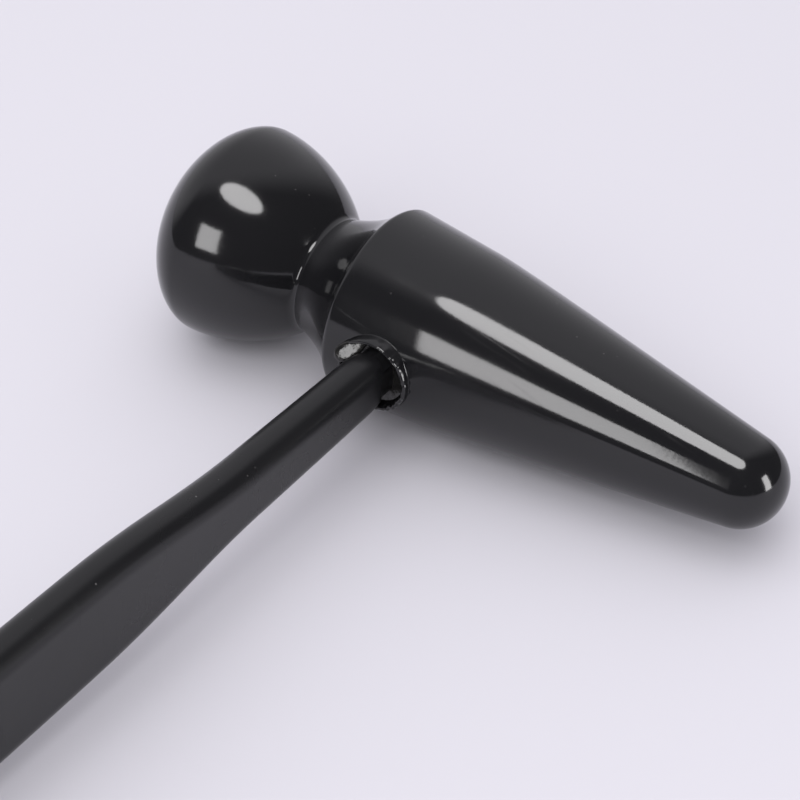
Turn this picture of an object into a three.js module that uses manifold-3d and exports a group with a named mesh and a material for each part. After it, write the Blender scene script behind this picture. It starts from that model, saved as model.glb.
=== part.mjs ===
// Reflex hammer: a ball-and-taper striking head on a flat paddle handle.
// Millimetres, +Z up. The hammer is drawn with its head axis along +X (towards the
// tapered tip) and its handle along -Y, then laid down the way it rests on a table.
import * as THREE from 'three';
import { mergeVertices } from 'three/addons/utils/BufferGeometryUtils.js';
import ManifoldModule from 'manifold-3d';

const wasm = await ManifoldModule();
wasm.setup();
const { Manifold, Mesh: SolidMesh } = wasm;

// ---- driving dimensions ---------------------------------------------------------

const ROUND_SEGMENTS = 64;
const CURVE_STEPS = 8;

// Striking head. Stations are measured along +X from the handle's axis.
const BALL_WIDEST = -25.65;
const BALL_RADIUS = 12.09;
const BALL_FACE_LENGTH = 7.32;
const BALL_NECK_LENGTH = 15.1;
const BALL_FULLNESS = 1.8;
const BALL_END_ANGLE = THREE.MathUtils.degToRad(142.5);
const NECK_STATION = -13.5;
const NECK_RADIUS = 6.46;
const FLARE_START_STATION = -13.0;
const FLARE_START_RADIUS = 6.62;
const FLARE_TURN_STATION = -8.65;
const FLARE_TURN_RADIUS = 7.93;
const SHOULDER_STATION = -6.3;
const SHOULDER_RADIUS = 10.7;
const SHOULDER_ROUND = 0.3;
const LAND_END = 3.4;
const LAND_SLOPE = 0.066;
const TAPER_LEAD = 2.6;
const TAPER_TRAIL = 28;
const TAPER_END_SLOPE = 0.148;
const TIP_STATION = 39.2;
const TIP_EDGE_RADIUS = 5.03;

// Socket in the head, and the sleeve that lines it.
const SLEEVE_OUTER_RADIUS = 4.1;
const SLEEVE_INNER_RADIUS = 3.5;
const SLEEVE_MOUTH = 11.1;
const SLEEVE_DEPTH = 5.0;
const LIP_RADIUS = 4.5;
const LIP_HEIGHT = 1.9;
const SEAT_GAP = 0.2;
const SOCKET_FLOOR = 5.6;

// Handle. Stations are distances from the head axis along -Y.
const BLADE_THICKNESS = 4.4;
const BLADE_START = 11.5;
const BLADE_END = 187.5;
const BLADE_EDGE_ROUND = 2.1;
const STEM_ROOT_WIDTH = 7.1;
const STEM_END_WIDTH = 8.1;
const STEM_END = 31;
const GRIP_START_WIDTH = 13.1;
const GRIP_START = 57;
const GRIP_FULL_WIDTH = 14.4;
const GRIP_FULL = 140;
const EDGE_STEPS = 7;
const TANG_THICKNESS = 4.0;
const TANG_WIDTH = 5.6;
const TANG_INNER_END = -4.4;

// Adhesive bead between tang and sleeve, just inside the mouth.
const BEAD_GAP = 0.15;
const BEAD_OUTER = 9.9;
const BEAD_INNER = 8.2;

// Resting attitude on a level table: head leaning tip down, handle's end down.
const LEAN = THREE.MathUtils.degToRad(4.042);
const PITCH = THREE.MathUtils.degToRad(0.995);

// ---- helpers --------------------------------------------------------------------

function plastic(name, color, roughness, opacity = 1) {
  return new THREE.MeshStandardMaterial({
    name, color, roughness, metalness: 0, opacity, transparent: opacity < 1,
  });
}

function solidFrom(geometry) {
  const bare = new THREE.BufferGeometry();
  bare.setAttribute('position', geometry.getAttribute('position'));
  if (geometry.index) bare.setIndex(geometry.index);
  const welded = mergeVertices(bare, 1e-4);
  return new Manifold(new SolidMesh({
    numProp: 3,
    vertProperties: new Float32Array(welded.getAttribute('position').array),
    triVerts: new Uint32Array(welded.index.array),
  }));
}

function geometryFrom(solid) {
  const mesh = solid.getMesh();
  const geometry = new THREE.BufferGeometry();
  geometry.setAttribute('position', new THREE.BufferAttribute(mesh.vertProperties, 3));
  geometry.setIndex(new THREE.BufferAttribute(mesh.triVerts, 1));
  geometry.computeVertexNormals();
  return geometry;
}

function node(name, solid, material) {
  const mesh = new THREE.Mesh(geometryFrom(solid), material);
  mesh.name = name;
  return mesh;
}

// Turns a (radius, station) profile about Y, with the seam closed on itself.
function turned(profile) {
  return new THREE.LatheGeometry(profile, ROUND_SEGMENTS);
}

// A body turned about Y, with stations running along -Y, as the handle's parts do.
function turnedAlongHandle(profile) {
  const flipped = profile.map((p) => new THREE.Vector2(p.x, -p.y)).reverse();
  return solidFrom(turned(flipped));
}

// ---- striking head --------------------------------------------------------------

// The ball is short towards its striking face and drawn out towards the neck.
function ballProfile() {
  const points = [];
  const steps = CURVE_STEPS * 2;
  const power = 2 / BALL_FULLNESS;
  for (let i = 0; i <= steps; i += 1) {
    const angle = (BALL_END_ANGLE * i) / steps;
    const length = Math.cos(angle) > 0 ? BALL_FACE_LENGTH : BALL_NECK_LENGTH;
    const along = Math.sign(Math.cos(angle)) * Math.abs(Math.cos(angle)) ** power;
    const radius = BALL_RADIUS * Math.sin(angle) ** power;
    points.push(new THREE.Vector2(radius, BALL_WIDEST - length * along));
  }
  return points;
}

function neckAndTaperProfile(ballEnd) {
  const path = new THREE.Path();
  path.moveTo(ballEnd.x, ballEnd.y);
  // tight fillet from the back of the ball into the neck
  path.quadraticCurveTo(NECK_RADIUS, NECK_STATION, FLARE_START_RADIUS, FLARE_START_STATION);
  // hollow flare up to the shoulder
  path.quadraticCurveTo(
    FLARE_TURN_RADIUS, FLARE_TURN_STATION,
    SHOULDER_RADIUS - SHOULDER_ROUND, SHOULDER_STATION - SHOULDER_ROUND,
  );
  path.quadraticCurveTo(
    SHOULDER_RADIUS, SHOULDER_STATION,
    SHOULDER_RADIUS - LAND_SLOPE * SHOULDER_ROUND, SHOULDER_STATION + SHOULDER_ROUND,
  );
  // nearly parallel land beside the shoulder, then the long taper
  const landRadius = SHOULDER_RADIUS - LAND_SLOPE * (LAND_END - SHOULDER_STATION);
  path.lineTo(landRadius, LAND_END);
  path.bezierCurveTo(
    landRadius - LAND_SLOPE * TAPER_LEAD, LAND_END + TAPER_LEAD,
    TIP_EDGE_RADIUS + TAPER_END_SLOPE * TAPER_TRAIL, TIP_STATION - TAPER_TRAIL,
    TIP_EDGE_RADIUS, TIP_STATION,
  );
  return path.getPoints(CURVE_STEPS).slice(1);
}

// Rounded tip, tangent to the end of the taper.
function tipProfile() {
  const edge = Math.atan(TAPER_END_SLOPE);
  const radius = TIP_EDGE_RADIUS / Math.cos(edge);
  const centre = TIP_STATION - radius * Math.sin(edge);
  const points = [];
  for (let i = 1; i <= CURVE_STEPS; i += 1) {
    const angle = edge + ((Math.PI / 2 - edge) * i) / CURVE_STEPS;
    points.push(new THREE.Vector2(radius * Math.cos(angle), centre + radius * Math.sin(angle)));
  }
  return points;
}

function headBody() {
  const ball = ballProfile();
  const profile = [...ball, ...neckAndTaperProfile(ball[ball.length - 1]), ...tipProfile()];
  profile[0].x = 0;
  profile[profile.length - 1].x = 0;
  const geometry = turned(profile);
  geometry.rotateZ(-Math.PI / 2);
  return solidFrom(geometry);
}

// The stepped hole for the sleeve: barrel, and a seat for its lip.
function socketCutter() {
  const barrel = SLEEVE_OUTER_RADIUS + SEAT_GAP;
  const lip = LIP_RADIUS + SEAT_GAP;
  const seat = SLEEVE_MOUTH - LIP_HEIGHT - SEAT_GAP;
  return turnedAlongHandle([
    new THREE.Vector2(0, -SOCKET_FLOOR),
    new THREE.Vector2(barrel, -SOCKET_FLOOR),
    new THREE.Vector2(barrel, seat),
    new THREE.Vector2(lip, seat),
    new THREE.Vector2(lip, SLEEVE_MOUTH + 4),
    new THREE.Vector2(0, SLEEVE_MOUTH + 4),
  ]);
}

function strikerHead() {
  const solid = headBody().subtract(socketCutter());
  return node('striker_head', solid, plastic('gloss_black', 0x0b0b0d, 0.12));
}

// ---- socket sleeve --------------------------------------------------------------

function socketSleeve() {
  const lipBase = SLEEVE_MOUTH - LIP_HEIGHT;
  const crest = (LIP_RADIUS + SLEEVE_INNER_RADIUS) / 2;
  const round = LIP_RADIUS - crest;
  const path = new THREE.Path();
  path.moveTo(SLEEVE_INNER_RADIUS, -SLEEVE_DEPTH);
  path.lineTo(SLEEVE_OUTER_RADIUS, -SLEEVE_DEPTH);
  path.lineTo(SLEEVE_OUTER_RADIUS, lipBase);
  path.lineTo(LIP_RADIUS, lipBase);
  path.lineTo(LIP_RADIUS, SLEEVE_MOUTH - round);
  path.absarc(crest, SLEEVE_MOUTH - round, round, 0, Math.PI, false);
  path.lineTo(SLEEVE_INNER_RADIUS, -SLEEVE_DEPTH);
  const solid = turnedAlongHandle(path.getPoints(5));
  return node('socket_sleeve', solid, plastic('sleeve_black', 0x0d0d10, 0.16));
}

// ---- handle ---------------------------------------------------------------------

// The flat of the blade, inside its rounded edges: a slim stem that swells into the grip.
function bladeOutline() {
  const half = (width) => width / 2 - BLADE_EDGE_ROUND;
  const start = BLADE_START + BLADE_EDGE_ROUND;
  const end = BLADE_END - BLADE_EDGE_ROUND;
  const full = half(GRIP_FULL_WIDTH);
  const endRound = full * 1.5;
  const swell = GRIP_START - STEM_END;
  const side = [
    [start, half(STEM_ROOT_WIDTH)],
    [STEM_END, half(STEM_END_WIDTH)],
    [GRIP_START, half(GRIP_START_WIDTH)],
    [GRIP_FULL, full],
    [end - endRound, full],
  ];
  const shape = new THREE.Shape();
  shape.moveTo(side[0][0], -side[0][1]);
  shape.lineTo(side[1][0], -side[1][1]);
  shape.bezierCurveTo(
    STEM_END + swell * 0.38, -side[1][1] - 0.15, STEM_END + swell * 0.58, -side[2][1] + 0.25,
    side[2][0], -side[2][1],
  );
  shape.quadraticCurveTo(GRIP_START + swell, -full, side[3][0], -full);
  shape.lineTo(side[4][0], -full);
  shape.bezierCurveTo(end - endRound * 0.42, -full, end, -full * 0.62, end, 0);
  shape.bezierCurveTo(end, full * 0.62, end - endRound * 0.42, full, side[4][0], full);
  shape.lineTo(side[3][0], full);
  shape.quadraticCurveTo(GRIP_START + swell, full, side[2][0], side[2][1]);
  shape.bezierCurveTo(
    STEM_END + swell * 0.58, side[2][1] - 0.25, STEM_END + swell * 0.38, side[1][1] + 0.15,
    side[1][0], side[1][1],
  );
  shape.lineTo(side[0][0], side[0][1]);
  shape.closePath();
  return shape;
}

function bladeSolid() {
  const core = BLADE_THICKNESS - 2 * BLADE_EDGE_ROUND;
  const geometry = new THREE.ExtrudeGeometry(bladeOutline(), {
    depth: core,
    bevelEnabled: true,
    bevelThickness: BLADE_EDGE_ROUND,
    bevelSize: BLADE_EDGE_ROUND,
    bevelSegments: EDGE_STEPS,
    curveSegments: 16,
  });
  geometry.translate(0, 0, -core / 2);
  // outline plane (station, width) to (-Y, Z), thickness to X
  geometry.applyMatrix4(new THREE.Matrix4().makeBasis(
    new THREE.Vector3(0, -1, 0), new THREE.Vector3(0, 0, 1), new THREE.Vector3(-1, 0, 0),
  ));
  return solidFrom(geometry);
}

function stadium(thickness, width) {
  const radius = thickness / 2;
  const reach = width / 2 - radius;
  const shape = new THREE.Shape();
  shape.absarc(0, reach, radius, 0, Math.PI, false);
  shape.absarc(0, -reach, radius, Math.PI, 2 * Math.PI, false);
  shape.closePath();
  return shape;
}

// A straight stadium bar between two stations along the handle.
function stadiumBar(thickness, width, from, to) {
  const geometry = new THREE.ExtrudeGeometry(stadium(thickness, width), {
    depth: to - from, bevelEnabled: false, curveSegments: 12,
  });
  geometry.translate(0, 0, from);
  geometry.rotateX(Math.PI / 2);
  return solidFrom(geometry);
}

function handle() {
  const overlap = BLADE_EDGE_ROUND + 2;
  const tang = stadiumBar(TANG_THICKNESS, TANG_WIDTH, TANG_INNER_END, BLADE_START + overlap);
  const solid = bladeSolid().add(tang);
  return node('handle', solid, plastic('satin_black', 0x111114, 0.32));
}

// ---- adhesive -------------------------------------------------------------------

function adhesiveBead() {
  const outer = SLEEVE_INNER_RADIUS - BEAD_GAP;
  const plug = turnedAlongHandle([
    new THREE.Vector2(0, BEAD_INNER),
    new THREE.Vector2(outer, BEAD_INNER),
    new THREE.Vector2(outer, BEAD_OUTER + 0.25),
    new THREE.Vector2(outer - 0.3, BEAD_OUTER),
    new THREE.Vector2(0, BEAD_OUTER),
  ]);
  const passage = stadiumBar(
    TANG_THICKNESS + 2 * BEAD_GAP, TANG_WIDTH + 2 * BEAD_GAP, BEAD_INNER - 1, BEAD_OUTER + 1,
  );
  return node('adhesive_bead', plug.subtract(passage), plastic('set_adhesive', 0x2a2724, 0.2));
}

// ---- assembly -------------------------------------------------------------------

// Lays the hammer down, then puts the footprint's centre at the origin.
function layDown(group) {
  const attitude = new THREE.Matrix4().makeRotationX(PITCH)
    .multiply(new THREE.Matrix4().makeRotationY(LEAN));
  const box = new THREE.Box3();
  group.children.forEach((part) => {
    part.geometry.applyMatrix4(attitude);
    part.geometry.computeBoundingBox();
    box.union(part.geometry.boundingBox);
  });
  const centre = box.getCenter(new THREE.Vector3());
  group.children.forEach((part) => part.geometry.translate(-centre.x, -centre.y, -box.min.z));
  return group;
}

const hammer = new THREE.Group();
hammer.name = 'reflex_hammer';
hammer.add(strikerHead(), socketSleeve(), handle(), adhesiveBead());

export default layDown(hammer);
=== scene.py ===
"""Reflex hammer: a glossy striking head on a satin paddle handle, lying on a pale table.

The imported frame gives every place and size. Lengths are metres unless a name says millimetres.
"""

import logging
import math
from dataclasses import dataclass
from enum import Enum
from typing import Callable, Sequence

import bmesh
import bpy
from mathutils import Matrix, Quaternion, Vector, noise


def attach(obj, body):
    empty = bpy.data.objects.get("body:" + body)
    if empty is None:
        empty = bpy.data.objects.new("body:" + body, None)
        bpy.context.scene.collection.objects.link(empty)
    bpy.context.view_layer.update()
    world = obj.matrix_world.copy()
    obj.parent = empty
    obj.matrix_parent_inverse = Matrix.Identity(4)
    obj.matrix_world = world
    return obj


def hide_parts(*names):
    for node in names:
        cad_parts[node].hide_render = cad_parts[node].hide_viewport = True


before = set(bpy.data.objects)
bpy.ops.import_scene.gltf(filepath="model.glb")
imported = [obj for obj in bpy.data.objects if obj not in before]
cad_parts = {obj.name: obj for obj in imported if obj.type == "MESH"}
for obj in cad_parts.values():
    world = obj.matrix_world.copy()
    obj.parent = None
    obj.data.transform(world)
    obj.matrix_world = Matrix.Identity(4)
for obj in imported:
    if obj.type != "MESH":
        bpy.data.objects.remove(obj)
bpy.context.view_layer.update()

Pair = tuple[float, float]
Triple = tuple[float, float, float]

log = logging.getLogger("reflex_hammer")

MM = 0.001
BODY = "root"
CREASE_DEG = 40.0


# ---- the hammer's own axes ----


def middle(values: Sequence[float]) -> float:
    """Returns the value halfway between the lowest and the highest."""
    return (min(values) + max(values)) / 2


@dataclass(frozen=True)
class Attitude:
    """How the hammer lies on the table, and where its two axes cross."""

    lean_deg: float = 4.042
    pitch_deg: float = 0.995

    def rotation(self) -> Matrix:
        """Turns the hammer's own axes (head +X, handle -Y) into the row frame's."""
        pitch = Matrix.Rotation(math.radians(self.pitch_deg), 4, "X")
        lean = Matrix.Rotation(math.radians(self.lean_deg), 4, "Y")
        return pitch @ lean

    def matrix(self) -> Matrix:
        """Places the hammer's own axes in the row frame, from the frame's sleeve and head.

        Returns:
            The matrix that takes a point in the hammer's own axes to the row frame.
        """
        turn = self.rotation()
        back = turn.inverted()
        sleeve = [back @ v.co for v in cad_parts["socket_sleeve"].data.vertices]
        head = [back @ v.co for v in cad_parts["striker_head"].data.vertices]
        across = middle([p.x for p in sleeve]), middle([p.y for p in head])
        centre = Vector((*across, middle([p.z for p in sleeve])))
        return turn @ Matrix.Translation(centre)


# ---- node helpers ----


class NodeSheet:
    """A thin helper that adds and links nodes in one tree."""

    def __init__(self, tree: bpy.types.NodeTree) -> None:
        """Starts a sheet.

        Args:
            tree: The node tree of a material, a group or the surroundings.
        """
        self.tree = tree
        self.count = 0

    def add(self, kind: str, **values: object) -> bpy.types.Node:
        """Adds a node and sets its properties.

        Args:
            kind: The node's type name, such as "ShaderNodeMath".
            values: Properties to set on the node.

        Returns:
            The new node.
        """
        node = self.tree.nodes.new(kind)
        self.count += 1
        node.location = (200 * (self.count % 8), -220 * (self.count // 8))
        for name, value in values.items():
            setattr(node, name, value)
        return node

    def link(self, source: bpy.types.NodeSocket, target: bpy.types.NodeSocket) -> None:
        """Links an output to an input."""
        self.tree.links.new(source, target)

    def mix(
        self, factor: object, first: object, second: object, blend: str = "MIX"
    ) -> bpy.types.NodeSocket:
        """Adds a node that mixes two colours.

        Args:
            factor: How much of the second: a number or an output socket.
            first: A colour, or an output socket.
            second: Another colour, or an output socket.
            blend: How they are mixed, such as "MULTIPLY".

        Returns:
            The mixed colour's output socket.
        """
        node = self.add("ShaderNodeMix", data_type="RGBA", blend_type=blend)
        colours = [socket for socket in node.inputs if socket.type == "RGBA"]
        for socket, value in zip((node.inputs[0], *colours), (factor, first, second)):
            self.feed(socket, value)
        return next(socket for socket in node.outputs if socket.type == "RGBA")

    def math(
        self, operation: str, a: object, b: object = None, clamp: bool = False
    ) -> bpy.types.NodeSocket:
        """Adds a math node.

        Args:
            operation: The node's operation, such as "MULTIPLY".
            a: First value: a number or an output socket.
            b: Second value, if the operation has one.
            clamp: Whether the result is kept between 0 and 1.

        Returns:
            The node's output socket.
        """
        node = self.add("ShaderNodeMath", operation=operation, use_clamp=clamp)
        for socket, value in zip(node.inputs, (a, b)):
            self.feed(socket, value)
        return node.outputs[0]

    def feed(self, socket: bpy.types.NodeSocket, value: object) -> None:
        """Links an output to a socket, or sets a plain value on it."""
        if value is None:
            return
        if isinstance(value, bpy.types.NodeSocket):
            self.link(value, socket)
        else:
            socket.default_value = value

    def noise(
        self, vector: object, scale: object, detail: float = 3.0, rough: float = 0.5
    ) -> bpy.types.NodeSocket:
        """Adds a noise texture.

        Args:
            vector: Where it is sampled.
            scale: Cells per metre: a number or an output socket.
            detail: Octaves.
            rough: How strongly the fine octaves count.

        Returns:
            The noise's factor output.
        """
        node = self.add("ShaderNodeTexNoise")
        self.feed(node.inputs["Vector"], vector)
        self.feed(node.inputs["Scale"], scale)
        node.inputs["Detail"].default_value = detail
        node.inputs["Roughness"].default_value = rough
        return node.outputs["Fac"]

    def remap(
        self,
        value: object,
        low: float,
        high: float,
        to_low: float = 0.0,
        to_high: float = 1.0,
        curve: str = "LINEAR",
    ) -> bpy.types.NodeSocket:
        """Maps a range onto another, clamped.

        Args:
            value: The input.
            low: Input value that gives to_low.
            high: Input value that gives to_high.
            to_low: Result at low.
            to_high: Result at high.
            curve: How it goes from one to the other, such as "SMOOTHSTEP".

        Returns:
            The mapped output socket.
        """
        node = self.add("ShaderNodeMapRange", clamp=True, interpolation_type=curve)
        names = ("Value", "From Min", "From Max", "To Min", "To Max")
        for name, number in zip(names, (value, low, high, to_low, to_high)):
            self.feed(node.inputs[name], number)
        return node.outputs["Result"]

    def bump(
        self, height: bpy.types.NodeSocket, distance: float, shader: bpy.types.Node
    ) -> None:
        """Adds a bump that feeds a shader's normal.

        Args:
            height: The height's output socket.
            distance: How far a height of 1 stands out, in metres.
            shader: The shader node.
        """
        node = self.add("ShaderNodeBump")
        node.inputs["Strength"].default_value = 1.0
        node.inputs["Distance"].default_value = distance
        self.link(height, node.inputs["Height"])
        self.link(node.outputs["Normal"], shader.inputs["Normal"])


def new_group(
    name: str, inputs: dict[str, object], output: str
) -> tuple[bpy.types.NodeTree, NodeSheet, bpy.types.Node, bpy.types.NodeSocket]:
    """Starts a shader node group with named inputs and one output.

    Args:
        name: The group's name.
        inputs: Default of each input, by name. Three numbers make a vector input.
        output: The output's name.

    Returns:
        The group, a sheet to build on, its input node and the socket its result goes to.
    """
    group = bpy.data.node_groups.new(name, "ShaderNodeTree")
    for label, default in inputs.items():
        kind = "NodeSocketFloat" if isinstance(default, float) else "NodeSocketVector"
        socket = group.interface.new_socket(label, in_out="INPUT", socket_type=kind)
        socket.default_value = default
    group.interface.new_socket(output, in_out="OUTPUT", socket_type="NodeSocketFloat")
    sheet = NodeSheet(group)
    start, end = sheet.add("NodeGroupInput"), sheet.add("NodeGroupOutput")
    return group, sheet, start, end.inputs[output]


class Effects:
    """The shared surface effects, each built once as a node group.

    Sizes are cells per metre.
    """

    SMEAR_CELLS = 900.0
    DUST_CELLS = 900.0
    RIPPLE_CELLS = 90.0
    GRAIN_CELLS = 2600.0
    RUB_PATCH_CELLS = 110.0

    def __init__(self) -> None:
        """Builds the groups."""
        self.haze = self._handling_haze()
        self.dust = self._settled_dust()
        self.moulding = self._moulding_ripple()
        self.scratches = self._hairline_scratches()

    def _handling_haze(self) -> bpy.types.NodeTree:
        """Soft patches where skin and cloth have dulled the gloss.

        Returns:
            The node group.
        """
        group, sheet, start, end = new_group(
            "handling_haze", {"Size": 60.0, "Amount": 0.5}, "Mask"
        )
        place = sheet.add("ShaderNodeTexCoord").outputs["Object"]
        broad = sheet.noise(place, start.outputs["Size"], detail=4.0)
        fine = sheet.noise(place, self.SMEAR_CELLS, detail=2.0)
        patches = sheet.remap(broad, low=0.42, high=0.68)
        smears = sheet.remap(fine, low=0.3, high=0.7, to_low=0.6)
        broken = sheet.math("MULTIPLY", patches, smears)
        sheet.link(sheet.math("MULTIPLY", broken, start.outputs["Amount"]), end)
        return group

    def _settled_dust(self) -> bpy.types.NodeTree:
        """Fine specks that lie on surfaces facing up.

        Returns:
            The node group.
        """
        group, sheet, start, end = new_group("settled_dust", {"Amount": 0.3}, "Mask")
        place = sheet.add("ShaderNodeTexCoord").outputs["Object"]
        normal = sheet.add("ShaderNodeNewGeometry").outputs["Normal"]
        parts = sheet.add("ShaderNodeSeparateXYZ")
        sheet.link(normal, parts.inputs[0])
        facing_up = sheet.remap(parts.outputs["Z"], low=0.1, high=0.9)
        specks = sheet.add("ShaderNodeTexVoronoi", feature="F1")
        sheet.link(place, specks.inputs["Vector"])
        specks.inputs["Scale"].default_value = self.DUST_CELLS
        near = sheet.remap(specks.outputs["Distance"], low=0.04, high=0.12, to_low=1.0, to_high=0.0)
        colour = sheet.add("ShaderNodeSeparateXYZ")
        sheet.link(specks.outputs["Color"], colour.inputs[0])
        sparse = sheet.remap(colour.outputs["X"], low=0.86, high=0.9)
        dots = sheet.math("MULTIPLY", near, sparse)
        lying = sheet.math("MULTIPLY", dots, facing_up)
        sheet.link(sheet.math("MULTIPLY", lying, start.outputs["Amount"]), end)
        return group

    def _moulding_ripple(self) -> bpy.types.NodeTree:
        """The slow unevenness of a moulded skin, as a height.

        Returns:
            The node group.
        """
        group, sheet, start, end = new_group(
            "moulding_ripple", {"Waviness": 0.5, "Grain": 0.1}, "Height"
        )
        place = sheet.add("ShaderNodeTexCoord").outputs["Object"]
        slow = sheet.noise(place, self.RIPPLE_CELLS, detail=2.0)
        fine = sheet.noise(place, self.GRAIN_CELLS, detail=2.0)
        total = sheet.math(
            "ADD",
            sheet.math("MULTIPLY", slow, start.outputs["Waviness"]),
            sheet.math("MULTIPLY", fine, start.outputs["Grain"]),
        )
        sheet.link(total, end)
        return group

    def _hairline_scratches(self) -> bpy.types.NodeTree:
        """Sparse fine rubs, stretched along one direction.

        Returns:
            The node group.
        """
        group, sheet, start, end = new_group(
            "hairline_scratches", {"Direction": (1.0, 1.0, 1.0), "Amount": 0.3}, "Mask"
        )
        place = sheet.add("ShaderNodeTexCoord").outputs["Object"]
        stretch = sheet.add("ShaderNodeVectorMath", operation="MULTIPLY")
        sheet.link(place, stretch.inputs[0])
        sheet.link(start.outputs["Direction"], stretch.inputs[1])
        lines = sheet.noise(stretch.outputs[0], 1.0, detail=2.0, rough=0.6)
        thin = sheet.remap(lines, low=0.63, high=0.68)
        patches = sheet.noise(place, self.RUB_PATCH_CELLS, detail=1.0)
        broken = sheet.math("MULTIPLY", thin, sheet.remap(patches, low=0.5, high=0.62))
        sheet.link(sheet.math("MULTIPLY", broken, start.outputs["Amount"]), end)
        return group


# ---- finishes ----


@dataclass(frozen=True)
class MouldedPlastic:
    """A black injection-moulded plastic, from high gloss to satin."""

    name: str
    color: Triple = (0.012, 0.012, 0.014)
    roughness: float = 0.08
    haze_roughness: float = 0.1
    haze_size: float = 60.0
    haze_amount: float = 0.6
    dust_amount: float = 0.35
    dust_color: Triple = (0.34, 0.33, 0.32)
    dust_roughness: float = 0.5
    waviness: float = 0.5
    grain: float = 0.05
    bump_distance: float = 0.00004
    scratch_direction: Triple = (60.0, 2400.0, 60.0)
    scratch_amount: float = 0.3
    scratch_roughness: float = 0.25
    ior: float = 1.5

    def material(self, effects: Effects) -> bpy.types.Material:
        """Builds the material.

        Args:
            effects: The shared node groups.

        Returns:
            The material.
        """
        material, sheet, shader = new_material(self.name)
        shader.inputs["IOR"].default_value = self.ior

        haze = place_group(sheet, effects.haze, Size=self.haze_size, Amount=self.haze_amount)
        dust = place_group(sheet, effects.dust, Amount=self.dust_amount)
        direction, amount = self.scratch_direction, self.scratch_amount
        rubs = place_group(sheet, effects.scratches, Direction=direction, Amount=amount)
        ripple = place_group(sheet, effects.moulding, Waviness=self.waviness, Grain=self.grain)

        dusty = sheet.mix(dust.outputs["Mask"], (*self.color, 1.0), (*self.dust_color, 1.0))
        sheet.link(dusty, shader.inputs["Base Color"])

        dulled = sheet.math("MULTIPLY", haze.outputs["Mask"], self.haze_roughness)
        rubbed = sheet.math("MULTIPLY", rubs.outputs["Mask"], self.scratch_roughness)
        specked = sheet.math("MULTIPLY", dust.outputs["Mask"], self.dust_roughness)
        total = sheet.math("ADD", self.roughness, dulled)
        total = sheet.math("ADD", total, rubbed)
        total = sheet.math("ADD", total, specked, clamp=True)
        sheet.link(total, shader.inputs["Roughness"])

        sheet.bump(ripple.outputs["Height"], self.bump_distance, shader)
        return material


@dataclass(frozen=True)
class SetAdhesive:
    """An adhesive that has set hard and glossy, dark as the socket it fills."""

    name: str = "set_adhesive"
    dark_color: Triple = (0.008, 0.008, 0.008)
    pale_color: Triple = (0.018, 0.017, 0.016)
    lump_cells: float = 700.0
    smooth_roughness: float = 0.08
    lumpy_roughness: float = 0.3
    bump_distance: float = 0.00006
    ior: float = 1.5

    def material(self, effects: Effects) -> bpy.types.Material:
        """Builds the material.

        Args:
            effects: The shared node groups.

        Returns:
            The material.
        """
        material, sheet, shader = new_material(self.name)
        shader.inputs["IOR"].default_value = self.ior
        place = sheet.add("ShaderNodeTexCoord").outputs["Object"]
        lumps = sheet.noise(place, self.lump_cells, detail=4.0, rough=0.6)
        cloudy = sheet.remap(lumps, low=0.35, high=0.7)
        color = sheet.mix(cloudy, (*self.dark_color, 1.0), (*self.pale_color, 1.0))
        sheet.link(color, shader.inputs["Base Color"])
        roughness = sheet.remap(
            lumps, low=0.3, high=0.7, to_low=self.smooth_roughness, to_high=self.lumpy_roughness
        )
        sheet.link(roughness, shader.inputs["Roughness"])
        ripple = place_group(sheet, effects.moulding, Waviness=1.0, Grain=0.6)
        height = sheet.math("ADD", ripple.outputs["Height"], lumps)
        sheet.bump(height, self.bump_distance, shader)
        return material


@dataclass(frozen=True)
class MattTable:
    """The plain pale table top."""

    name: str = "table_white"
    color: Triple = (0.556, 0.546, 0.585)
    roughness: float = 0.8

    def material(self) -> bpy.types.Material:
        """Returns the material, newly built."""
        material, _, shader = new_material(self.name)
        shader.inputs["Base Color"].default_value = (*self.color, 1.0)
        shader.inputs["Roughness"].default_value = self.roughness
        return material


def new_material(name: str) -> tuple[bpy.types.Material, NodeSheet, bpy.types.Node]:
    """Starts a material.

    Args:
        name: Its name.

    Returns:
        The material, a sheet to build on and its shader node.
    """
    material = bpy.data.materials.new(name)
    material.use_nodes = True
    tree = material.node_tree
    return material, NodeSheet(tree), tree.nodes["Principled BSDF"]


def place_group(
    sheet: NodeSheet, group: bpy.types.NodeTree, **values: object
) -> bpy.types.Node:
    """Places a node group in a material with its own values.

    Args:
        sheet: The material's sheet.
        group: The node group.
        values: Values for the group's inputs, by name.

    Returns:
        The group node.
    """
    node = sheet.add("ShaderNodeGroup", node_tree=group)
    for name, value in values.items():
        sheet.feed(node.inputs[name], value)
    return node


# ---- mesh helpers ----


class EdgeFinish(Enum):
    """How a crisp edge is finished on a mesh."""

    SHARP = "sharp"
    SOFTENED = "softened"


def finished_object(
    name: str,
    mesh: bmesh.types.BMesh,
    place: Matrix,
    edges: EdgeFinish = EdgeFinish.SOFTENED,
) -> bpy.types.Object:
    """Turns a built mesh into a smooth-shaded object in the row frame.

    Args:
        name: The piece's name.
        mesh: The built mesh, in the hammer's own axes. It is freed.
        place: The matrix to the row frame.
        edges: Whether its creases stay sharp in the shading.

    Returns:
        The new object.
    """
    bmesh.ops.recalc_face_normals(mesh, faces=mesh.faces)
    mesh.transform(place)
    data = bpy.data.meshes.new(name)
    mesh.to_mesh(data)
    mesh.free()
    for polygon in data.polygons:
        polygon.use_smooth = True
    if edges is EdgeFinish.SHARP:
        data.set_sharp_from_angle(angle=math.radians(CREASE_DEG))
    item = bpy.data.objects.new(name, data)
    bpy.context.scene.collection.objects.link(item)
    return item


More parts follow.
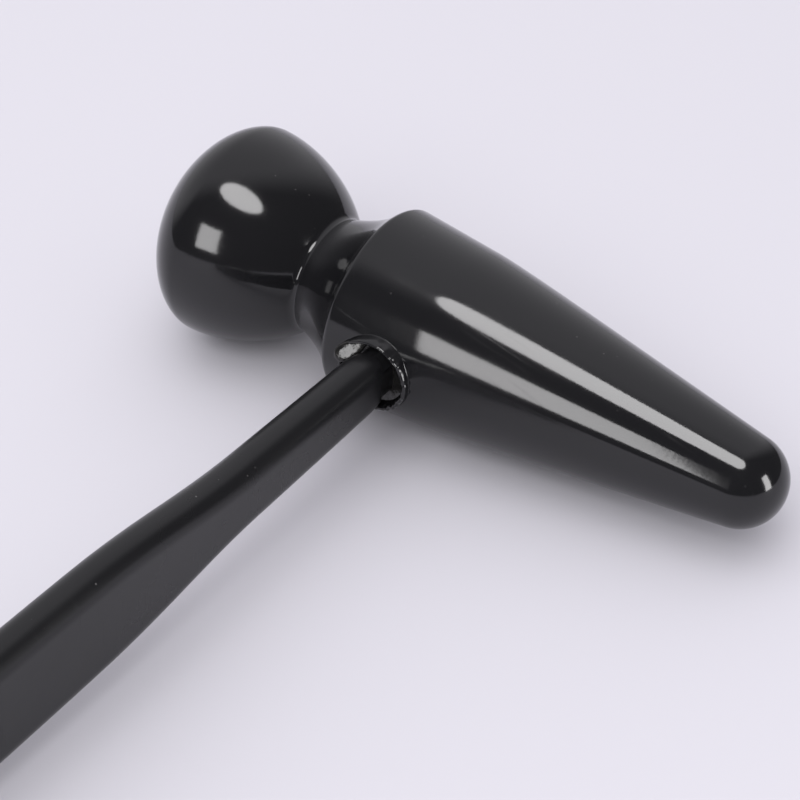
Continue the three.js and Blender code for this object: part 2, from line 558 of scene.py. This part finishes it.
def join_rings(
    mesh: bmesh.types.BMesh,
    first: Sequence[bmesh.types.BMVert],
    second: Sequence[bmesh.types.BMVert],
) -> None:
    """Joins two rings with faces; a ring of one vertex is a pole.

    Args:
        mesh: The mesh both are in.
        first: One ring.
        second: The next ring, with as many vertices unless one is a pole.
    """
    count = max(len(first), len(second))
    for k in range(count):
        n = (k + 1) % count
        a, b = first[k % len(first)], first[n % len(first)]
        c, d = second[n % len(second)], second[k % len(second)]
        mesh.faces.new(list(dict.fromkeys((a, b, c, d))))


def turned_mesh(
    profile: Sequence[Pair],
    segments: int,
    along: Callable[[float, float, float], Vector],
) -> bmesh.types.BMesh:
    """Turns a profile into a closed body.

    Args:
        profile: Radius and station of each point; a radius of zero is a pole.
        segments: Faces round the axis.
        along: Gives the place of a point from its radius, station and angle.

    Returns:
        The mesh.
    """
    mesh = bmesh.new()
    rings: list[list[bmesh.types.BMVert]] = []
    for radius, station in profile:
        if radius == 0.0:
            rings.append([mesh.verts.new(along(0.0, station, 0.0))])
            continue
        turns = [2 * math.pi * k / segments for k in range(segments)]
        rings.append([mesh.verts.new(along(radius, station, turn)) for turn in turns])
    for lower, upper in zip(rings, rings[1:]):
        join_rings(mesh, lower, upper)
    return mesh


# ---- curves ----


def bezier(controls: Sequence[Pair], steps: int) -> list[Pair]:
    """Walks a Bezier curve of any degree in the plane.

    Args:
        controls: Its control points.
        steps: Pieces it is cut into.

    Returns:
        The points after the first control point, up to the last.
    """
    walked = []
    for k in range(1, steps + 1):
        t = k / steps
        points = list(controls)
        while len(points) > 1:
            points = [
                ((1 - t) * a[0] + t * b[0], (1 - t) * a[1] + t * b[1])
                for a, b in zip(points, points[1:])
            ]
        walked.append(points[0])
    return walked


def smooth_step(low: float, high: float, value: float) -> float:
    """Rises smoothly from 0 to 1.

    Args:
        low: Where the rise starts.
        high: Where it ends.
        value: Where it is wanted.

    Returns:
        The height at the value.
    """
    t = min(1.0, max(0.0, (value - low) / (high - low)))
    return t * t * (3 - 2 * t)


def across_head(radius: float, station: float, angle: float) -> Vector:
    """Places a turned point round the head's axis, in metres."""
    return Vector((station, radius * math.cos(angle), radius * math.sin(angle))) * MM


def across_socket(radius: float, station: float, angle: float) -> Vector:
    """Places a turned point round the handle's axis, in metres, stations running along -Y."""
    return Vector((radius * math.sin(angle), -station, radius * math.cos(angle))) * MM


def keep_modified(item: bpy.types.Object) -> None:
    """Applies an object's modifiers to its mesh."""
    bpy.context.view_layer.update()
    depsgraph = bpy.context.evaluated_depsgraph_get()
    data = bpy.data.meshes.new_from_object(item.evaluated_get(depsgraph))
    item.modifiers.clear()
    item.data = data


def combine(item: bpy.types.Object, other: bpy.types.Object, operation: str) -> None:
    """Joins a closed mesh with another, or cuts the other out of it.

    Args:
        item: The mesh that is kept.
        other: The mesh that is added or cut out. It is removed.
        operation: "UNION" or "DIFFERENCE".
    """
    modifier = item.modifiers.new("combine", "BOOLEAN")
    modifier.operation = operation
    modifier.object = other
    modifier.solver = "EXACT"
    keep_modified(item)
    bpy.data.objects.remove(other, do_unlink=True)


def declare(item: bpy.types.Object, node: str) -> None:
    """Hides the solid a finished piece stands for and hangs the piece on what it rides on.

    Args:
        item: The piece.
        node: The solid it stands for.
    """
    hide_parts(node)
    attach(item, BODY)
    log.info("built %s with %d faces", item.name, len(item.data.polygons))


# ---- striking head ----


@dataclass
class HeadMoulding:
    """The striking head: a flattened ball, a hollow flare and a long round-tipped taper.

    Sizes are millimetres; stations run along the head's axis from the handle's.
    """

    ball_widest: float = -25.65
    ball_radius: float = 12.08
    ball_face_length: float = 7.3
    ball_neck_length: float = 15.1
    ball_fullness: float = 1.8
    ball_end_deg: float = 142.5
    neck: Pair = (-13.5, 6.46)
    flare_start: Pair = (-13.0, 6.62)
    flare_turn: Pair = (-8.65, 7.93)
    shoulder: Pair = (-6.3, 10.69)
    shoulder_round: float = 0.3
    land_end: float = 3.4
    land_slope: float = 0.066
    tip_slope: float = 0.148
    taper_lead: float = 2.6
    taper_trail: float = 28.0
    tip_station: float = 39.18
    tip_radius: float = 5.02
    socket_radius: float = 4.0
    socket_floor: float = 5.6
    bore_clearance: float = 4.0
    bore_segments: int = 96
    ball_steps: int = 72
    tip_steps: int = 28
    segments: int = 192

    def ball(self) -> list[Pair]:
        """Returns the ball's profile, from its face to its end."""
        power = 2 / self.ball_fullness
        points = [(0.0, self.ball_widest - self.ball_face_length)]
        for k in range(1, self.ball_steps + 1):
            angle = math.radians(self.ball_end_deg) * k / self.ball_steps
            length = self.ball_face_length if math.cos(angle) > 0 else self.ball_neck_length
            along = math.copysign(abs(math.cos(angle)) ** power, math.cos(angle))
            points.append(
                (self.ball_radius * math.sin(angle) ** power, self.ball_widest - length * along)
            )
        return points

    def land_radius(self) -> float:
        """Returns the radius where the straight land ends and the taper begins."""
        return self.shoulder[1] - self.land_slope * (self.land_end - self.shoulder[0])

    def profile(self) -> list[Pair]:
        """Returns the whole profile as radius and station pairs."""
        ball = self.ball()
        end_radius, end_station = ball[-1]
        station, radius = self.shoulder
        turn = self.shoulder_round
        flare_top = (station - turn, radius - turn)
        land_top = (station + turn, radius - self.land_slope * turn)
        path = bezier([(end_station, end_radius), self.neck, self.flare_start], 16)
        path += bezier([self.flare_start, self.flare_turn, flare_top], 24)
        path += bezier([flare_top, self.shoulder, land_top], 8)
        land = self.land_radius()
        path += bezier([land_top, (self.land_end, land)], 12)
        path += bezier(
            [
                (self.land_end, land),
                (self.land_end + self.taper_lead, land - self.land_slope * self.taper_lead),
                (
                    self.tip_station - self.taper_trail,
                    self.tip_radius + self.tip_slope * self.taper_trail,
                ),
                (self.tip_station, self.tip_radius),
            ],
            48,
        )
        return ball + [(r, s) for s, r in path] + self.tip()

    def tip(self) -> list[Pair]:
        """Returns the round tip's profile, tangent to the taper's end."""
        edge = math.atan(self.tip_slope)
        radius = self.tip_radius / math.cos(edge)
        centre = self.tip_station - radius * math.sin(edge)
        points = []
        for k in range(1, self.tip_steps):
            angle = edge + (math.pi / 2 - edge) * k / self.tip_steps
            points.append((radius * math.cos(angle), centre + radius * math.sin(angle)))
        return points + [(0.0, centre + radius)]

    def surface_height(self, station: float, aside: float) -> float:
        """Returns how far the head's skin is from its axis along the handle, at a place.

        Args:
            station: Along the head's axis.
            aside: Across it, square to the handle.

        Returns:
            The distance along the handle's axis.
        """
        skin = self.shoulder[1] - self.land_slope * (station - self.shoulder[0])
        return math.sqrt(skin**2 - aside**2)

    def build(self, place: Matrix) -> bpy.types.Object:
        """Builds the head with its socket.

        Args:
            place: The matrix to the row frame.

        Returns:
            The piece.
        """
        item = finished_object(
            "head_moulding", turned_mesh(self.profile(), self.segments, across_head), place
        )
        outside = self.shoulder[1] + self.bore_clearance
        bore = [
            (0.0, -self.socket_floor),
            (self.socket_radius, -self.socket_floor),
            (self.socket_radius, outside),
            (0.0, outside),
        ]
        bore_mesh = turned_mesh(bore, self.bore_segments, across_socket)
        combine(item, finished_object("socket_cutter", bore_mesh, place), "DIFFERENCE")
        item.data.set_sharp_from_angle(angle=math.radians(CREASE_DEG))
        declare(item, "striker_head")
        return item


# ---- socket sleeve ----


@dataclass
class SocketSleeve:
    """The sleeve that lines the socket, with a raised lip that flows into the head's skin."""

    inner_radius: float = 3.5
    outer_radius: float = 3.98
    crest_radius: float = 4.05
    crest_height: float = 10.78
    crest_round: float = 0.22
    foot_radius: float = 4.4
    foot_sink: float = 0.02
    inner_end: float = -5.0
    wall_stations: tuple[float, ...] = (2.0, 6.0, 9.0)
    crest_sweep_deg: float = 128.0
    crest_steps: int = 14
    flank_reach: float = 0.3
    foot_lead: float = 0.12
    skirt_inset: float = 0.1
    skirt_depth: float = 0.6
    seat_depth: float = 0.8
    ragged: float = 0.2
    smooth_side_share: float = 0.15
    slow_lumps: float = 3.1
    fast_lumps: float = 9.7
    tip_side: Pair = (-0.3, 0.7)
    outward_shares: Pair = (0.5, 0.9)
    upward_shares: Pair = (0.5, 0.4)
    segments: int = 180

    def raggedness(self, angle: float) -> Pair:
        """Returns how uneven the lip is at an angle: most on the side towards the tip.

        Args:
            angle: Round the handle's axis, from up.

        Returns:
            How far the lip is off, outwards and upwards.
        """
        tip_side = smooth_step(*self.tip_side, math.sin(angle))
        seed = Vector((math.sin(angle), math.cos(angle), 0.0))
        slow = noise.noise(seed * self.slow_lumps + Vector((4.0, 0.0, 0.0)))
        fast = noise.noise(seed * self.fast_lumps + Vector((0.0, 7.0, 0.0)))
        share = self.smooth_side_share
        amount = self.ragged * (share + (1 - share) * tip_side)
        outward = self.outward_shares[0] * slow + self.outward_shares[1] * fast
        upward = self.upward_shares[1] * fast - self.upward_shares[0] * abs(slow)
        return amount * outward, amount * upward

    def section(self, angle: float, head: HeadMoulding) -> list[Pair]:
        """Returns the closed section of the sleeve at an angle, as radius and height.

        Args:
            angle: Round the handle's axis, from up.
            head: The head whose skin the lip flows into.

        Returns:
            The section, from the wall's inner end over the lip to its foot and back.
        """
        out, up = self.raggedness(angle)
        crest = self.crest_height + up
        centre = self.crest_radius + out
        turn = self.crest_round
        section = [(self.inner_radius, self.inner_end)]
        section += [(self.inner_radius, height) for height in self.wall_stations]
        sweep = math.radians(self.crest_sweep_deg)
        for k in range(self.crest_steps + 1):
            tilt = math.pi - sweep * k / self.crest_steps
            section.append((centre + turn * math.cos(tilt), crest - turn + turn * math.sin(tilt)))
        last = section[-1]
        foot = self.foot_point(angle, self.foot_radius, head)
        before = self.foot_point(angle, self.foot_radius - self.foot_lead, head)
        lean = math.pi - sweep
        flank = (
            last[0] + self.flank_reach * math.sin(lean),
            last[1] - self.flank_reach * math.cos(lean),
        )
        section += bezier([last, flank, before, foot], self.crest_steps)
        section.append((self.foot_radius - self.skirt_inset, foot[1] - self.skirt_depth))
        section.append((self.outer_radius, foot[1] - self.seat_depth))
        section.append((self.outer_radius, self.inner_end))
        return section

    def foot_point(self, angle: float, radius: float, head: HeadMoulding) -> Pair:
        """Finds a place on the head's skin, round the handle's axis.

        Args:
            angle: Round the handle's axis, from up.
            radius: From the handle's axis.
            head: The head.

        Returns:
            The radius, and the height where the foot sinks into the skin.
        """
        height = head.surface_height(radius * math.sin(angle), radius * math.cos(angle))
        return radius, height - self.foot_sink

    def build(self, place: Matrix, head: HeadMoulding) -> bpy.types.Object:
        """Builds the sleeve.

        Args:
            place: The matrix to the row frame.
            head: The head it sits in.

        Returns:
            The piece.
        """
        mesh = bmesh.new()
        rings = []
        for k in range(self.segments):
            angle = 2 * math.pi * k / self.segments
            places = [across_socket(r, h, angle) for r, h in self.section(angle, head)]
            rings.append([mesh.verts.new(place) for place in places])
        for ring, following in zip(rings, rings[1:] + rings[:1]):
            join_rings(mesh, ring, following)
        item = finished_object("socket_sleeve_piece", mesh, place, EdgeFinish.SHARP)
        declare(item, "socket_sleeve")
        return item


# ---- handle ----


@dataclass
class PaddleHandle:
    """The flat handle: a slim stem that swells into a broad grip with a rounded end."""

    thickness: float = 4.38
    edge_round: float = 2.08
    start: float = 10.0
    root_width: float = 6.86
    mouth: float = 15.0
    mouth_width: float = 7.16
    stem_end: float = 31.0
    stem_width: float = 8.08
    grip_start: float = 57.0
    grip_start_width: float = 13.08
    grip_full: float = 140.0
    grip_width: float = 14.38
    end: float = 187.48
    tang_thickness: float = 4.0
    tang_width: float = 5.6
    tang_end: float = -4.4
    tang_overlap: float = 4.0
    tang_steps: int = 20
    swell_from: Pair = (0.38, 0.15)
    swell_to: Pair = (0.58, -0.25)
    end_round_share: float = 1.5
    end_fullness: Pair = (0.42, 0.62)
    face_inset: float = 0.3
    crease_deg: float = 50.0
    edge_steps: int = 24

    def side(self) -> list[Pair]:
        """Returns one side of the flat's outline, inside the rounded edges."""
        widths = (self.root_width, self.mouth_width, self.stem_width)
        widths += (self.grip_start_width, self.grip_width)
        half = [width / 2 - self.edge_round for width in widths]
        (lead, lift), (trail, drop) = self.swell_from, self.swell_to
        swell = self.grip_start - self.stem_end
        start = (self.start + self.edge_round, half[0])
        mouth = (self.mouth, half[1])
        stem = (self.stem_end, half[2])
        grip = (self.grip_start, half[3])
        full = (self.grip_full, half[4])
        end = self.end - self.edge_round
        end_round = half[4] * self.end_round_share
        points = [start]
        points += bezier([start, mouth], 4)
        points += bezier([mouth, stem], 16)
        points += bezier(
            [
                stem,
                (self.stem_end + swell * lead, half[2] + lift),
                (self.stem_end + swell * trail, half[3] + drop),
                grip,
            ],
            40,
        )
        points += bezier([grip, (self.grip_start + swell, half[4]), full], 40)
        points += bezier([full, (end - end_round, half[4])], 12)
        points += bezier(
            [
                (end - end_round, half[4]),
                (end - end_round * self.end_fullness[0], half[4]),
                (end, half[4] * self.end_fullness[1]),
                (end, 0.0),
            ],
            36,
        )
        return points

    def outline(self) -> list[Pair]:
        """Returns the closed outline of the flat, both sides."""
        side = self.side()
        return side + [(s, -h) for s, h in reversed(side[:-1])]

    def normals(self, outline: Sequence[Pair]) -> list[Pair]:
        """Returns the outward direction at each point of a closed outline.

        Args:
            outline: The outline's points.

        Returns:
            One unit direction for each point.
        """
        found = []
        count = len(outline)
        for k in range(count):
            s0, h0 = outline[k - 1]
            s1, h1 = outline[(k + 1) % count]
            along = Vector((s1 - s0, h1 - h0)).normalized()
            found.append((-along.y, along.x))
        corner = math.sqrt(0.5)
        found[0] = (-corner, corner)
        found[-1] = (-corner, -corner)
        return found

    def blade(self) -> bmesh.types.BMesh:
        """Builds the blade: loops round its outline, from one flat face to the other."""
        outline = self.outline()
        outward = self.normals(outline)
        core = self.thickness / 2 - self.edge_round
        loops = [(-self.face_inset, core + self.edge_round)]
        for k in range(self.edge_steps + 1):
            tilt = math.pi / 2 - math.pi * k / self.edge_steps
            height = self.edge_round * math.sin(tilt)
            loops.append((self.edge_round * math.cos(tilt), height + math.copysign(core, height)))
        loops.append((-self.face_inset, -core - self.edge_round))
        mesh = bmesh.new()
        rows = []
        for offset, height in loops:
            places = [
                Vector((height, -(s + offset * n[0]), h + offset * n[1])) * MM
                for (s, h), n in zip(outline, outward)
            ]
            rows.append([mesh.verts.new(place) for place in places])
        for upper, lower in zip(rows, rows[1:]):
            join_rings(mesh, upper, lower)
        mesh.faces.new(rows[0])
        mesh.faces.new(rows[-1])
        return mesh

    def tang(self) -> bmesh.types.BMesh:
        """Builds the tang, a round-sided bar that goes into the socket."""
        radius = self.tang_thickness / 2
        reach = self.tang_width / 2 - radius
        section = []
        for side in (0.0, math.pi):
            centre = reach * math.cos(side)
            for k in range(self.tang_steps + 1):
                angle = side + math.pi * k / self.tang_steps
                section.append((radius * math.cos(angle), centre + radius * math.sin(angle)))
        mesh = bmesh.new()
        ends = [
            [mesh.verts.new(Vector((x, -station, z)) * MM) for x, z in section]
            for station in (self.tang_end, self.start + self.tang_overlap)
        ]
        join_rings(mesh, *ends)
        for end in ends:
            mesh.faces.new(end)
        return mesh

    def build(self, place: Matrix) -> bpy.types.Object:
        """Builds the handle.

        Args:
            place: The matrix to the row frame.

        Returns:
            The piece.
        """
        item = finished_object("paddle_handle", self.blade(), place)
        tang = finished_object("tang_bar", self.tang(), place)
        combine(item, tang, "UNION")
        item.data.set_sharp_from_angle(angle=math.radians(self.crease_deg))
        declare(item, "handle")
        return item


# ---- adhesive ----


@dataclass
class AdhesiveFill:
    """The set adhesive round the tang, just inside the mouth, with a lumpy meniscus."""

    radius: float = 3.49
    bottom: float = 8.2
    top: float = 9.5
    climb: float = 0.3
    climb_power: float = 5.0
    lump: float = 0.1
    slow_lumps: float = 1.3
    fast_lumps: float = 3.7
    spill_deg: float = -50.0
    spill_radius: float = 3.45
    spill_height: float = 10.68
    spill_size: Triple = (1.95, 0.95, 0.45)
    spill_facing: Triple = (0.16, -0.81, 0.56)
    spill_fullness: float = 3.8
    spill_taper: float = -0.35
    spill_steps: int = 24
    segments: int = 96
    rings: int = 18
    under_share: float = 0.5

    def height(self, radius: float, angle: float) -> float:
        """Returns the height of the adhesive's top at a place."""
        place = Vector((radius * math.sin(angle), radius * math.cos(angle), 3.0))
        lumps = noise.noise(place * self.slow_lumps) + 0.5 * noise.noise(place * self.fast_lumps)
        climb = self.climb * (radius / self.radius) ** self.climb_power
        return self.top + climb + self.lump * lumps

    def spill(self) -> bmesh.types.BMesh:
        """Builds the flat-topped blob that has spilled over the lip on the ball's side."""
        facing = Vector(self.spill_facing).normalized()
        angle = math.radians(self.spill_deg)
        round_lip = Vector((math.cos(angle), 0.0, -math.sin(angle)))
        length = (round_lip - facing * round_lip.dot(facing)).normalized()
        width = facing.cross(length)
        centre = across_socket(self.spill_radius, self.spill_height, angle)
        power = 2 / self.spill_fullness
        half_length, half_width, depth = self.spill_size

        def along(radius: float, station: float, turn: float) -> Vector:
            """Places a point of the blob.

            Args:
                radius: From the blob's middle, as a share of its half size.
                station: Up from the middle, as a share of its depth.
                turn: Round the middle, from its long way.

            Returns:
                The place, in metres.
            """
            taper = 1 + self.spill_taper * radius * math.cos(turn)
            flat = length * (half_length * radius * math.cos(turn))
            flat += width * (half_width * taper * radius * math.sin(turn))
            return centre + (flat + facing * (depth * station)) * MM

        profile = []
        for k in range(self.spill_steps + 1):
            tilt = math.pi * k / self.spill_steps
            lift = math.copysign(abs(math.cos(tilt)) ** power, math.cos(tilt))
            is_pole = k in (0, self.spill_steps)
            profile.append((0.0 if is_pole else math.sin(tilt) ** power, lift))
        return turned_mesh(profile, self.segments, along)

    def build(self, place: Matrix) -> bpy.types.Object:
        """Builds the adhesive.

        Args:
            place: The matrix to the row frame.

        Returns:
            The piece.
        """
        mesh = bmesh.new()
        top = mesh.verts.new(across_socket(0.0, self.height(0.0, 0.0), 0.0))
        previous = [top]
        rows = [(self.radius * k / self.rings, True) for k in range(1, self.rings + 1)]
        rows += [(self.radius, False), (self.radius * self.under_share, False)]
        for radius, on_top in rows:
            ring = []
            for k in range(self.segments):
                angle = 2 * math.pi * k / self.segments
                height = self.height(radius, angle) if on_top else self.bottom
                ring.append(mesh.verts.new(across_socket(radius, height, angle)))
            join_rings(mesh, previous, ring)
            previous = ring
        mesh.faces.new(previous)
        item = finished_object("adhesive_fill", mesh, place, EdgeFinish.SHARP)
        combine(item, finished_object("spill", self.spill(), place), "UNION")
        declare(item, "adhesive_bead")
        return item


# ---- studio ----


def heading(azimuth_deg: float, elevation_deg: float) -> Vector:
    """Returns the direction at an azimuth from the near side and an elevation."""
    azimuth, elevation = math.radians(azimuth_deg), math.radians(elevation_deg)
    return Vector(
        (
            math.sin(azimuth) * math.cos(elevation),
            -math.cos(azimuth) * math.cos(elevation),
            math.sin(elevation),
        )
    )


class LampShape(Enum):
    """The outline of a soft light's face."""

    RECTANGLE = "RECTANGLE"
    ELLIPSE = "ELLIPSE"


@dataclass(frozen=True)
class SoftBox:
    """A soft light: where it hangs, how big it is and how bright its face is.

    It hangs at an azimuth and elevation, in degrees, and a distance; its size is width and
    height. Lengths are metres. The gloss shows it if it is mirrored.
    """

    name: str
    hung: Triple
    size: Pair
    radiance: float
    roll_deg: float = 0.0
    mirrored: bool = True
    lights_table: bool = True
    shape: LampShape = LampShape.RECTANGLE
    color: Triple = (1.0, 0.99, 1.0)


@dataclass
class Studio:
    """Table, lights, surroundings and camera."""

    boxes: tuple[SoftBox, ...] = (
        SoftBox(
            "overhead_disc",
            hung=(19.0, 72.8, 0.4),
            size=(0.24, 0.162),
            radiance=8.2,
            roll_deg=-22.0,
            lights_table=False,
            shape=LampShape.ELLIPSE,
        ),
        SoftBox("front_box", (355.6, 22.2, 0.4), (0.115, 0.166), 7.9, lights_table=False),
        SoftBox("side_box", (95.0, 9.0, 0.8), (0.2, 0.56), 11.0, lights_table=False),
        SoftBox("ceiling_key", (20.0, 74.0, 0.9), (0.9, 0.9), 0.75, mirrored=False),
        SoftBox("front_key", (15.0, 42.0, 1.5), (1.2, 1.0), 2.7, mirrored=False),
        SoftBox("ceiling_fill", (300.0, 70.0, 1.2), (1.2, 1.2), 0.42, mirrored=False),
    )
    wall_azimuth_deg: float = 235.0
    wall_elevation_deg: float = 35.0
    wall_from: float = 0.35
    wall_to: float = 0.7
    wall_radiance: float = 0.72
    room_radiance: float = 0.10
    bounce_radiance: float = 0.6
    wall_tint: Triple = (1.0, 0.985, 1.04)
    backdrop_color: Triple = (0.8, 0.77, 0.85)
    table_half_side: float = 1.5

    azimuth_deg: float = 35.573
    elevation_deg: float = 38.172
    roll_deg: float = 0.2
    distance: float = 0.313
    lens: float = 132.44
    clip: Pair = (0.01, 50.0)
    aim_right: float = -0.003179
    aim_up: float = -0.008009

    def camera(self, place: Matrix) -> None:
        """Makes the camera.

        Args:
            place: The hammer's matrix, whose origin is where its axes cross.
        """
        cross = place.to_translation()
        azimuth = math.radians(self.azimuth_deg)
        back = heading(self.azimuth_deg, self.elevation_deg)
        level = Vector((math.cos(azimuth), math.sin(azimuth), 0.0))
        right = Quaternion(back, math.radians(self.roll_deg)) @ level
        up = back.cross(right)
        data = bpy.data.cameras.new("camera")
        data.lens = self.lens
        data.clip_start, data.clip_end = self.clip
        camera = bpy.data.objects.new("camera", data)
        bpy.context.scene.collection.objects.link(camera)
        camera.rotation_mode = "QUATERNION"
        camera.rotation_quaternion = Matrix((right, up, back)).transposed().to_quaternion()
        camera.location = cross + back * self.distance + right * self.aim_right + up * self.aim_up
        bpy.context.scene.camera = camera

    def table(self) -> None:
        """Makes the pale table the hammer lies on."""
        mesh = bmesh.new()
        bmesh.ops.create_grid(mesh, x_segments=2, y_segments=2, size=self.table_half_side)
        item = finished_object("table", mesh, Matrix.Identity(4))
        item.data.materials.append(MattTable().material())

    def hang(self, box: SoftBox, target: Vector) -> None:
        """Hangs a soft light that faces the hammer.

        Args:
            box: The light's place, size and brightness.
            target: What it points at.
        """
        data = bpy.data.lights.new(box.name, "AREA")
        data.shape = box.shape.value
        width, height = box.size
        data.size, data.size_y = width, height
        data.energy = math.pi * box.radiance * width * height
        data.color = box.color
        item = bpy.data.objects.new(box.name, data)
        item.visible_camera = False
        item.visible_glossy = box.mirrored
        item.visible_diffuse = box.lights_table
        bpy.context.scene.collection.objects.link(item)
        azimuth_deg, elevation_deg, distance = box.hung
        away = heading(azimuth_deg, elevation_deg)
        item.location = target + away * distance
        item.rotation_mode = "QUATERNION"
        facing = away.to_track_quat("Z", "Y")
        item.rotation_quaternion = facing @ Quaternion((0, 0, 1), math.radians(box.roll_deg))

    def surroundings(self) -> None:
        """Fills the room: a white wall at the back left, a dim room elsewhere, and bounce."""
        world = bpy.data.worlds.new("room")
        bpy.context.scene.world = world
        world.use_nodes = True
        sheet = NodeSheet(world.node_tree)
        background = world.node_tree.nodes["Background"]
        direction = sheet.add("ShaderNodeTexCoord").outputs["Generated"]
        facing = sheet.add("ShaderNodeVectorMath", operation="DOT_PRODUCT")
        sheet.link(direction, facing.inputs[0])
        facing.inputs[1].default_value = heading(self.wall_azimuth_deg, self.wall_elevation_deg)
        wall = sheet.remap(
            facing.outputs["Value"],
            low=self.wall_from,
            high=self.wall_to,
            to_low=self.room_radiance,
            to_high=self.wall_radiance,
            curve="SMOOTHSTEP",
        )
        path = sheet.add("ShaderNodeLightPath")
        bounce = sheet.math("MULTIPLY", path.outputs["Is Diffuse Ray"], self.bounce_radiance)
        total = sheet.math("ADD", wall, bounce)
        grey = sheet.add("ShaderNodeCombineColor")
        for channel in grey.inputs[:3]:
            sheet.link(total, channel)
        tinted = sheet.mix(1.0, grey.outputs[0], (*self.wall_tint, 1.0), blend="MULTIPLY")
        is_seen = path.outputs["Is Camera Ray"]
        shown = sheet.mix(is_seen, tinted, (*self.backdrop_color, 1.0))
        sheet.link(shown, background.inputs["Color"])


# ---- build ----


def main() -> None:
    """Builds, dresses and lights the hammer."""
    logging.basicConfig(level=logging.INFO, format="%(name)s: %(message)s")
    bpy.context.scene.view_settings.view_transform = "Standard"
    place = Attitude().matrix()
    studio = Studio()
    studio.camera(place)
    effects = Effects()
    head = HeadMoulding()
    dressed = (
        (head.build(place), MouldedPlastic("gloss_head", (0.008, 0.008, 0.009), dust_amount=0.1)),
        (
            SocketSleeve().build(place, head),
            MouldedPlastic("gloss_sleeve", (0.009, 0.009, 0.01), roughness=0.1),
        ),
        (
            PaddleHandle().build(place),
            MouldedPlastic("satin_handle", (0.009, 0.009, 0.01), roughness=0.27, ior=1.4),
        ),
        (AdhesiveFill().build(place), SetAdhesive()),
    )
    for item, finish in dressed:
        item.data.materials.clear()
        item.data.materials.append(finish.material(effects))
        log.info("dressed %s as %s", item.name, finish.name)
    studio.table()
    studio.surroundings()
    for box in studio.boxes:
        studio.hang(box, place.to_translation())


if __name__ == "__main__":
    main()
